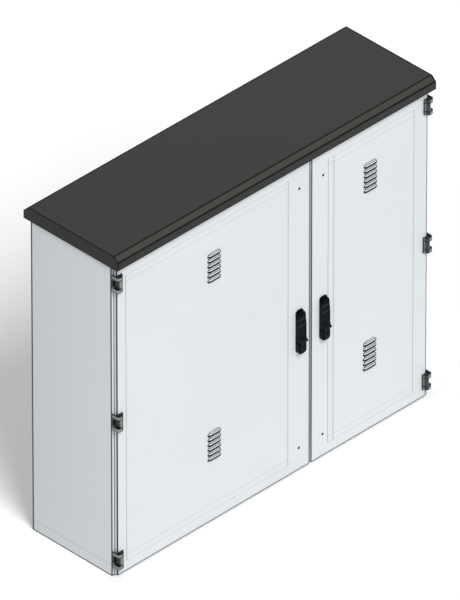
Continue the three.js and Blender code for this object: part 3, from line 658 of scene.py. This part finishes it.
def makeLeaf():
    low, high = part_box("hinge_leaf_left_lower")
    axisX, axisY = hingeValues["axis"]
    middleZ, half = (low.z + high.z) / 2, hingeValues["height"] / 2
    middle, bottom, top = (axisX, axisY, middleZ), middleZ - half, middleZ + half
    reach = hingeValues["window"] - hingeValues["play"]
    side, front, back = axisX + hingeValues["barrel"], high.y - hingeValues["leaf"], high.y
    flange = addBox("flange", (side + hingeValues["leafGap"], front, bottom), (high.x, back, top))
    web = addBox("web", (axisX, front, middleZ - reach),
                 (side + hingeValues["leafLap"], back, middleZ + reach))
    knuckle = addBar("knuckle", "z", hingeValues["knuckle"], middle, 2 * reach, 40)
    (outerX, innerX), (inY, outY) = hingeValues["strap"], hingeValues["strapDeep"]
    upZ, downZ = hingeValues["strapShort"]
    strap = addBox("strap", (outerX, back - inY, bottom + upZ), (innerX, back + outY, middleZ + reach - downZ))
    combine(knuckle, web, "UNION")
    combine(knuckle, flange, "UNION")
    bore = addBar("bore", "z", hingeValues["pin"] + hingeValues["play"], middle, 3 * half, 24)
    soften(combine(knuckle, bore), hingeValues["pinEdge"], 2, 40)
    return smooth(fuse("hingeLeaf", knuckle, soften(strap, hingeValues["strapEdge"])))


def makeHinges():
    for make, node in ((makeBracket, "hinge_bracket"), (makeLeaf, "hinge_leaf")):
        model = make()
        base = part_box(f"{node}_left_lower")[0].z
        for side in sides:
            body = "cabinet" if node == "hinge_bracket" else f"door_{side}"
            for level in levels:
                shift = (0, 0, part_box(f"{node}_{side}_{level}")[0].z - base)
                piece = duplicate(model, f"{model.name}_{side}_{level}", shift, side == "right")
                finish(piece, looks["dark_die_cast"], body, "dark_die_cast", f"{node}_{side}_{level}")
        bpy.data.objects.remove(model)


# Body

bodyValues = {"sheet": 2 * mm, "rim": 54 * mm, "lip": 5 * mm, "rearReturn": 22 * mm,
              "doorway": (42 * mm, 968 * mm), "notch": 6 * mm}
bodyMarks = {"fold": 2.8 * mm, "rearSide": 2.5 * mm, "rearBack": 3 * mm, "hingeZ": (-24 * mm, 11 * mm),
             "hingeOut": 9.5 * mm, "hingeY": (4 * mm, 6 * mm), "baseFold": (34.5 * mm, 37.5 * mm),
             "baseSkin": 0.5 * mm, "foot": 3.6 * mm, "foldShade": 0.88, "hingeShade": 0.75, "baseLine": 0.2,
             "rearShade": 0.85, "footShade": 0.95}


def bodyPaintedShading(shader):
    x, y, z = shader.axes()
    low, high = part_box("side_panel_left")
    marks, outer = bodyMarks, abs(x)
    fold = (outer > -low.x - marks["fold"]) & (y < low.y + bodyValues["lip"] + marks["fold"])
    rear = (outer > -low.x - marks["rearSide"]) & (y > high.y - marks["rearBack"])
    # painted shadow on the front strip beside each hinge
    (below, above), (front, back) = marks["hingeZ"], marks["hingeY"]
    hinge = sum((z.within(middle + below, middle + above) for middle in hingeValues["middles"]), 0.0)
    hinge = hinge & (outer > -low.x - marks["hingeOut"]) & y.within(low.y + front, low.y + back)
    # a faint dark line painted across the outside of each side at the base's fold
    base = z.within(*marks["baseFold"]) & (outer > -low.x - marks["baseSkin"])
    # painted shade lines along the front fold, the rear edge and the foot
    return ((fold, marks["foldShade"]), (hinge, marks["hingeShade"]), (base, marks["baseLine"]),
            (rear, marks["rearShade"]), (z < low.z + marks["foot"], marks["footShade"]))


def makeSidePanel(side):
    low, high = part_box("side_panel_left")
    half, rim = bodyValues["sheet"] / 2, low.x + bodyValues["rim"]
    frontY, backY = low.y + bodyValues["lip"] + half, high.y - half
    points = [(rim - half, low.y), (rim - half, frontY), (low.x + half, frontY), (low.x + half, backY),
              (low.x + bodyValues["rearReturn"], backY)]
    panel = foldedSheet(f"sideWall_{side}", points, "z", low.z, high.z)
    bottom, top = bodyValues["doorway"]
    for start, end in ((low.z - past, bottom), (top, high.z + past)):  # the lip stops at the doorway
        notch = addBox("notch", (rim - bodyValues["notch"], low.y - past, start),
                       (rim + bodyValues["notch"], frontY - half, end))
        combine(panel, notch)
    if side == "right":
        mirror(panel)
    return finish(smooth(panel), looks["light_grey_paint"], "cabinet", "light_grey_paint", f"side_panel_{side}")


# Doors and their louvres

doorValues = {"sheet": 2 * mm, "edgeRadius": 2.5 * mm, "cornerRadius": 3 * mm, "bulge": 6.5 * mm,
              "spindle": 7.5 * mm, "spindleCut": 20 * mm}
louvreValues = {"length": 50 * mm, "height": 11.5 * mm, "depth": 6.5 * mm, "wall": 1.6 * mm,
                "pitch": 16.1 * mm, "count": 6, "centres": (255 * mm, 843 * mm), "foot": 2.4 * mm}
doorMarks = {  # a seal line is its place, half its width and how dark it is
    "sealLines": {"left": ((-557 * mm, 1.3 * mm, 0.42), (57 * mm, 1.3 * mm, 0.42)),
                  "right": ((209.5 * mm, 1.3 * mm, 0.42), (230.5 * mm, 2.6 * mm, 0.24),
                            (537.5 * mm, 1.3 * mm, 0.42))},
    "sealHeights": (38 * mm, 58 * mm, 955 * mm, 975 * mm), "sealHalf": 1.2 * mm,
    "lowEdge": {"left": 2.6 * mm, "right": 0.9 * mm}, "lowDeep": 3.4 * mm, "highEdge": 4.6 * mm,
    "rims": 4.5 * mm, "deep": 2.2 * mm, "rear": 2 * mm, "outside": 1 * mm}
louvreMarks = {"skin": 0.1 * mm, "root": 2.2 * mm, "lip": 4.8 * mm, "crease": (7.4 * mm, 9.4 * mm),
               "ends": (-23.2 * mm, 19 * mm)}
# how dark each painted mark is; all but the seal band are painted shade
doorDarkening = {"band": 0.16, "lowEdge": 0.95, "highEdge": 0.85, "rims": 0.85, "rear": 0.85, "hood": 0.14,
            "root": 0.88, "crease": 0.75}


def louvreStarts():  # the foot of the lowest hood in each group
    span = (louvreValues["count"] - 1) * louvreValues["pitch"] + louvreValues["height"]
    return [centre - span / 2 for centre in louvreValues["centres"]]


def louvreShape(name, grow, drop):  # half of a round-ended bar, squashed flat; drop opens its mouth
    pick()
    radius = louvreValues["height"] + grow
    bpy.ops.mesh.primitive_uv_sphere_add(segments=40, ring_count=20, radius=radius, location=(0, 0, 0),
                                         rotation=turnTo["x"])
    shape = settle(name)
    reach = louvreValues["length"] / 2 + grow - radius
    with Editing(shape, "VERT") as edit:
        edit.all()
        bpy.ops.mesh.bisect(plane_co=(0, 0, -drop), plane_no=(0, 0, 1), use_fill=True, clear_inner=True)
        for direction in (1, -1):
            edit.verts(lambda place: place.x * direction > tiny)
            bpy.ops.transform.translate(value=(direction * reach, 0, 0))
        edit.all()
        squash = (louvreValues["depth"] + grow) / radius
        bpy.ops.transform.resize(value=(1, squash, 1), center_override=(0, 0, 0))
    return shape


def doorShadeAndSealLines(side):
    low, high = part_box(f"door_pan_{side}")
    faceY, middleX = low.y + doorValues["bulge"], (low.x + high.x) / 2
    lowerStart, upperStart = louvreStarts()
    marks, louvre = doorMarks, louvreMarks
    lines, heights = marks["sealLines"][side], marks["sealHeights"]

    def paintedShading(shader):
        x, y, z = shader.axes()
        outside, face = y < faceY + marks["outside"], y < faceY + marks["deep"]
        # faint dark lines painted on the face where the seal runs
        seal = sum((x.around(place, half) * amount for place, half, amount in lines), 0.0)
        seal = seal * z.within(heights[0], heights[-1]) * outside
        band = sum((z.around(place, marks["sealHalf"]) for place in heights), 0.0)
        band = band & x.within(lines[0][0], lines[-1][0]) & outside
        # painted shade: dark lines along the door's edges and rear, a darker tone on the hoods, and dark roots,
        # creases, lips and ends on each hood
        lowEdge = (x < low.x + marks["lowEdge"][side]) & (y < faceY + marks["lowDeep"])
        rims = ((z < low.z + marks["rims"]) | (z > high.z - marks["rims"])) & face
        hood = y < faceY - louvre["skin"]
        start = lowerStart + (upperStart - lowerStart) * (z > (lowerStart + upperStart) / 2)
        step = (z - start) % louvreValues["pitch"]
        along, (leftEnd, rightEnd) = x - middleX, louvre["ends"]
        outline = (step < louvre["lip"]) | (along < leftEnd) | (along > rightEnd)
        return ((seal, 1), (band, doorDarkening["band"]), (lowEdge, doorDarkening["lowEdge"]),
                ((x > high.x - marks["highEdge"]) & face, doorDarkening["highEdge"]), (rims, doorDarkening["rims"]),
                (y > high.y - marks["rear"], doorDarkening["rear"]), (hood, doorDarkening["hood"]),
                (y.within(faceY - louvre["root"], faceY - louvre["skin"]), doorDarkening["root"]),
                (hood & step.within(*louvre["crease"]), doorDarkening["crease"]), (hood & outline, 1))

    return paintedShading


def makeDoor(side):
    low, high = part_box(f"door_pan_{side}")
    sheet, faceY = doorValues["sheet"], low.y + doorValues["bulge"]
    door = addBox(f"doorShell_{side}", (low.x, faceY, low.z), high)
    with Editing(door) as edit:
        edit.faces(facing("y", 1))
        bpy.ops.mesh.inset(thickness=sheet, depth=0)
        bpy.ops.mesh.extrude_region_move(TRANSFORM_OT_translate={"value": (0, faceY + sheet - high.y, 0)})
        corners = runsAlong("y")
        edit.edges(lambda a, b: corners(a, b) and meets(a.x, low.x, high.x) and meets(a.z, low.z, high.z))
        bpy.ops.mesh.bevel(offset=doorValues["cornerRadius"], segments=4, affect="EDGES")
        edit.edges(lambda a, b: meets(a.y, faceY) and meets(b.y, faceY))
        bpy.ops.mesh.bevel(offset=doorValues["edgeRadius"], segments=4, affect="EDGES")
    hood = louvreShape("hood", 0.0, 0.0)
    throat = louvreShape("throat", -louvreValues["wall"], louvreValues["foot"])
    places = [Vector(((low.x + high.x) / 2, faceY, start + i * louvreValues["pitch"]))
              for start in louvreStarts() for i in range(louvreValues["count"])]
    for shape, operation in ((hood, "UNION"), (throat, "DIFFERENCE")):
        copies = [duplicate(shape, f"{shape.name}Copy", place) for place in places]
        combine(door, fuse(f"{shape.name}s", *copies), operation)
        bpy.data.objects.remove(shape)
    lockLow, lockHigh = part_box(f"lock_cylinder_{side}")
    spindle = ((lockLow.x + lockHigh.x) / 2, faceY, handleValues["hubZ"])
    combine(door, addBar("spindleHole", "y", doorValues["spindle"], spindle, doorValues["spindleCut"], 32))
    look = powderCoat(f"doorPaint_{side}", "light", doorShadeAndSealLines(side))
    return finish(smooth(door, 32), look, f"door_{side}", "light_grey_paint", f"door_pan_{side}")


# Swing handles

handleValues = {"plate": 2.7 * mm, "corner": 9 * mm, "housingTop": 432.5 * mm, "housingIn": 0.5 * mm,
                "housingCorner": 8.5 * mm, "hub": 11 * mm, "hubZ": 520 * mm, "cylinder": 8.8 * mm,
                "cylinderZ": 412 * mm, "edge": 1.1 * mm, "studPlay": 0.4 * mm, "studIn": 2 * mm,
                "studLength": 15 * mm}
leverValues = {  # rows, in mm: height above the foot, then how far front and back stand off the back plane
    "rows": [(0, 18.7, 0), (4, 18.7, 0), (5.5, 15.8, 0), (8, 13.7, 0), (11.5, 12.4, 0), (16, 12, 0),
             (50, 12, 0), (92, 8, 0), (95.4, 7.6, 2.4), (98, 6.2, 3.6)],
    "grip": 5, "bend": 6, "head": 7,  # the rows that the flutes and the thumb hollows start from
    "crown": 12 * mm, "side": 0.05 * mm, "top": 0.03 * mm, "foot": 9 * mm, "edge": 1.4 * mm,
    "pivot": (3.6 * mm, 92 * mm), "pocket": 3.4 * mm, "pocketHalf": 5.1 * mm,
    "pocketFoot": 69 * mm, "pocketOut": 2 * mm, "pocketSlope": (0, -0.92, -0.38), "pinHole": 1.8 * mm,
    "pinLength": 19.6 * mm, "hollows": (73 * mm, 54 * mm), "hollowRadius": 9 * mm, "hollowDepth": 1 * mm,
    "hollowWidth": 20 * mm, "hollowEdge": 0.5 * mm, "flutes": (-5.5 * mm, 5.5 * mm),
    "fluteEnds": (20 * mm, 42 * mm), "fluteRadius": 1.2 * mm, "fluteIn": 0.4 * mm}
coverValues = {"corner": 7 * mm, "lid": 2.5 * mm, "rim": 1.6 * mm, "dish": 0.4 * mm, "edge": 0.4 * mm,
               "recess": (4.4 * mm, 6 * mm), "recessZ": 421 * mm, "recessDepth": 0.9 * mm, "stud": 2 * mm,
               "studIn": 1 * mm, "studShort": 2.2 * mm, "pivotZ": 425 * mm}
cylinderValues = {"rim": 1.4 * mm, "dish": 0.4 * mm, "keyHalf": (1.2 * mm, 4.5 * mm), "keyDepth": 9 * mm,
                  "edge": 0.3 * mm}
handleTints = {"body": ((0.0022, 0.0032, 0.0068), (0.0034, 0.0048, 0.0096)), "sides": (0.0095, 0.0135, 0.021),
               "hollow": (0.022, 0.024, 0.028), "shade": (0.0006, 0.0007, 0.0010), "rough": 0.42, "sheen": 0.05,
               "grain": 0.06 * mm, "hollowAmount": 0.8, "shadeAmount": 0.9}
handleMarks = {"sideways": 0.6, "hollowHalf": 3.6 * mm, "hollowFront": 8 * mm, "crown": 78 * mm,
               "recessHalf": 6.1 * mm, "recessDeep": (0.45 * mm, 1 * mm), "rimDeep": 0.42 * mm}


def handlePlastic():
    marks, tints = handleMarks, handleTints
    shader = Shader("handlePlastic", **{"IOR": plasticValues["ior"], "Specular IOR Level": tints["sheen"]})
    y, z = shader.axes()[1:]
    normal = shader.add("ShaderNodeTexCoord", {}, {}, "Normal")
    sideways = abs(shader.add("ShaderNodeSeparateXYZ", {}, {"Vector": normal})) > marks["sideways"]
    (leverLow, leverHigh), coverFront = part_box("handle_lever_left"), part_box("cylinder_cover_left")[0].y
    hollows = sum((z.around(leverLow.z + height, marks["hollowHalf"])
                   for height in leverValues["hollows"]), 0.0) & (y < leverHigh.y - marks["hollowFront"])
    crown = z > leverLow.z + marks["crown"]
    recess = z.around(coverValues["recessZ"], marks["recessHalf"])
    recess = recess & y.within(*(coverFront + deep for deep in marks["recessDeep"]))
    cloud = shader.noise(*plasticValues["cloud"])
    tint = shader.blend(cloud, *tints["body"])
    # painted light: faces that look sideways get a lighter tone
    tint = shader.blend(sideways, tint, tints["sides"])
    tint = shader.blend(hollows * tints["hollowAmount"], tint, tints["hollow"])
    # the cover's front face gets the same lighter tone as painted light
    tint = shader.blend(y < coverFront + marks["rimDeep"], tint, tints["sides"])
    tint = shader.blend((crown | recess) * tints["shadeAmount"], tint, tints["shade"])
    shader.use(colour=tint, rough=tints["rough"] + plasticValues["roughCloud"] * cloud)
    shader.bump(shader.cells(plasticValues["spark"]), tints["grain"])
    return shader.material


def makeHandleBase():
    low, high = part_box("handle_base_left")
    middleX, middleY = (low.x + high.x) / 2, (low.y + high.y) / 2
    plate = addBox("handleBase", (low.x, high.y - handleValues["plate"], low.z), high)
    housing = addBox("housing", low, (high.x, high.y - handleValues["housingIn"], handleValues["housingTop"]))
    roundEdges(plate, runsAlong("y"), handleValues["corner"], 8)
    combine(plate, roundEdges(housing, runsAlong("y"), handleValues["housingCorner"], 8), "UNION")
    for radius, z in ((handleValues["hub"], handleValues["hubZ"]),
                      (handleValues["cylinder"], handleValues["cylinderZ"])):
        combine(plate, addBar("hole", "y", radius, (middleX, middleY, z), 4 * past, 40))
    stud = (middleX, low.y + handleValues["studIn"], coverValues["pivotZ"])
    studHole = addBar("studHole", "y", coverValues["stud"] + handleValues["studPlay"], stud,
                      handleValues["studLength"], 20)
    return smooth(soften(combine(plate, studHole), handleValues["edge"], 3, 35))


def makeLever():
    low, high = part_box("handle_lever_left")
    middleX = (low.x + high.x) / 2
    rows = [tuple(value * mm for value in row) for row in leverValues["rows"]]
    grip, bend, head = (rows[leverValues[key]] for key in ("grip", "bend", "head"))
    lever = addBox("handleLever", low, high)
    with Editing(lever, "VERT") as edit:
        for height, front, back in rows[1:-1]:
            edit.all()
            bpy.ops.mesh.bisect(plane_co=(0, 0, low.z + height), plane_no=(0, 0, 1))
        for height, front, back in rows:
            for start, end in ((low.y, high.y - front), (high.y, high.y - back)):
                edit.verts(lambda place: meets(place.z, low.z + height) and meets(place.y, start))
                bpy.ops.transform.translate(value=(0, end - start, 0))
    side, foot = leverValues["side"], leverValues["foot"]
    outline = addBox("outline", (low.x + side, low.y - past, low.z - foot),
                     (high.x - side, high.y + past, high.z - leverValues["top"]))
    combine(lever, roundEdges(outline, runsAlong("y"), leverValues["crown"], 10), "INTERSECT")
    soften(lever, leverValues["edge"], 3, 40)
    depth, radius = leverValues["hollowDepth"], leverValues["hollowRadius"]
    for height in leverValues["hollows"]:  # two thumb hollows on the sloping face
        slope = (height - bend[0]) / (head[0] - bend[0])
        faceY = high.y - bend[1] + slope * (bend[1] - head[1])
        hollow = addBar("hollow", "x", radius, (middleX, faceY + depth - radius, low.z + height),
                        leverValues["hollowWidth"], 64)
        combine(lever, soften(hollow, leverValues["hollowEdge"], 2, 60))
    start, end = leverValues["fluteEnds"]
    for shift in leverValues["flutes"]:
        place = (middleX + shift, high.y - grip[1] - leverValues["fluteIn"], low.z + (start + end) / 2)
        combine(lever, addBar("flute", "z", leverValues["fluteRadius"], place, end - start, 16))
    pivotY, pivotZ = high.y - leverValues["pivot"][0], low.z + leverValues["pivot"][1]
    radius, half = leverValues["pocket"], leverValues["pocketHalf"]
    out, footZ = high.y + leverValues["pocketOut"], low.z + leverValues["pocketFoot"]
    pocket = addBox("pocket", (middleX - half, pivotY - radius / 2, footZ),
                    (middleX + half, out, pivotZ + radius))
    with Editing(pocket, "VERT") as edit:  # its foot slopes out of the lever's back
        edit.all()
        bpy.ops.mesh.bisect(plane_co=(0, out, footZ), plane_no=leverValues["pocketSlope"], use_fill=True,
                            clear_outer=True)
    for size, length, count in ((radius, 2 * half, 32), (leverValues["pinHole"], leverValues["pinLength"], 24)):
        combine(pocket, addBar("knuckle", "x", size, (middleX, pivotY, pivotZ), length, count), "UNION")
    return smooth(combine(lever, pocket), 40)


def makeCover():
    low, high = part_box("cylinder_cover_left")
    middleX, middleY = (low.x + high.x) / 2, (low.y + high.y) / 2
    corner, (halfX, halfZ), recessZ = (coverValues[key] for key in ("corner", "recess", "recessZ"))
    lid = addBox("lid", low, (high.x, low.y + coverValues["lid"], high.z))
    roundEdges(lid, runsAlong("y"), corner, 10)
    with Editing(lid) as edit:
        edit.faces(facing("y", -1))
        bpy.ops.mesh.inset(thickness=coverValues["rim"], depth=-coverValues["dish"])
    thumb = addBox("thumb", (middleX - halfX, low.y - past, recessZ - halfZ),
                   (middleX + halfX, low.y + coverValues["recessDepth"], recessZ + halfZ))
    soften(combine(lid, thumb), coverValues["edge"], 2, 40)
    stud = addBar("stud", "y", coverValues["stud"], (middleX, middleY + coverValues["studIn"], high.z - corner),
                  high.y - low.y - coverValues["studShort"], 20)
    return smooth(fuse("cylinderCover", lid, stud))


def makeCylinder():
    low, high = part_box("lock_cylinder_left")
    middle = (low + high) / 2
    plug = addBar("lockCylinder", "y", (high.x - low.x) / 2, middle, high.y - low.y, 40)
    with Editing(plug) as edit:
        edit.faces(facing("y", -1))
        bpy.ops.mesh.inset(thickness=cylinderValues["rim"], depth=-cylinderValues["dish"])
    halfX, halfZ = cylinderValues["keyHalf"]
    keyway = addBox("keyway", (middle.x - halfX, low.y - past, middle.z - halfZ),
                    (middle.x + halfX, low.y + cylinderValues["keyDepth"], middle.z + halfZ))
    return smooth(soften(combine(plug, keyway), cylinderValues["edge"], 2, 40))


def makeHandles():
    for make, node, body, slot in ((makeHandleBase, "handle_base", "door", "black_plastic"),
                                   (makeLever, "handle_lever", "lever", "black_plastic"),
                                   (makeCover, "cylinder_cover", "cover", "black_plastic"),
                                   (makeCylinder, "lock_cylinder", "key", "nickel")):
        model = make()
        for side in sides:
            shift = (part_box(f"{node}_{side}")[0].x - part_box(f"{node}_left")[0].x, 0, 0)
            piece = duplicate(model, f"{model.name}_{side}", shift)
            finish(piece, looks[slot], f"{body}_{side}", slot, f"{node}_{side}")
        bpy.data.objects.remove(model)


# Door screws

screwValues = {"radius": 4 * mm, "height": 1.6 * mm, "socket": 1.7 * mm, "socketLength": 1.8 * mm,
               "heights": {"lower": 76.5 * mm, "upper": 932 * mm}}


def makeScrews():
    pick()
    radius, height = screwValues["radius"], screwValues["height"]
    bpy.ops.mesh.primitive_uv_sphere_add(segments=32, ring_count=16, radius=radius, rotation=turnTo["y"])
    head = settle("screwHead")
    with Editing(head) as edit:
        edit.all()
        bpy.ops.mesh.bisect(plane_co=(0, 0, 0), plane_no=(0, 1, 0), use_fill=True, clear_outer=True)
        edit.all()
        bpy.ops.transform.resize(value=(1, height / radius, 1), center_override=(0, 0, 0))
    socket = addBar("socket", "y", screwValues["socket"], (0, -height, 0), screwValues["socketLength"], 6)
    smooth(combine(head, socket))
    for side in sides:
        lockLow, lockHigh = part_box(f"lock_cylinder_{side}")
        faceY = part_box(f"door_pan_{side}")[0].y + doorValues["bulge"]
        for name, z in screwValues["heights"].items():
            copy = duplicate(head, f"guideScrew_{side}_{name}", ((lockLow.x + lockHigh.x) / 2, faceY, z))
            finish(copy, looks["black_plastic"], f"door_{side}", "black_plastic")
    bpy.data.objects.remove(head)


# The whole cabinet

looks = {
    "light_grey_paint": powderCoat("bodyPaint", "light", bodyPaintedShading),
    "dark_grey_paint": powderCoat("roofPaint", "dark", roofPaintedShading),
    "dark_die_cast": powderCoat("castPaint", "casting", hingePaintedShading),
    "black_plastic": handlePlastic(),
    "nickel": nickelPlate(),
    "zinc_steel": zincSheet(),
    "grey_plastic": mouldedPlastic("grey"),
    "switch_case": mouldedPlastic("switch"),
    "red_plastic": mouldedPlastic("red"),
    "copper": bareCopper(),
    "seal_foam": foamSeal(),
}
hubFinish = lockSteel()
for part in frame["record"]["subparts"]:
    node = frame["nodes"][part["node"]]
    if not node.material_slots:
        node.data.materials.append(None)
    for materialSlot in node.material_slots:
        isHub = part["node"].startswith("lock_spindle")
        materialSlot.material = hubFinish if isHub else looks[part["material_slot"]]
print("finishes ready")

addCamera()
addLight()
addFloor()
bpy.context.scene.view_settings.view_transform = "Standard"
print("camera and light ready")

for side in sides:
    makeDoor(side)
print("doors ready")

makeRoof()
print("roof ready")

for side in sides:
    makeSidePanel(side)
print("body ready")

makeHinges()
print("hinges ready")

makeHandles()
print("handles ready")

makeScrews()
print("screws ready")
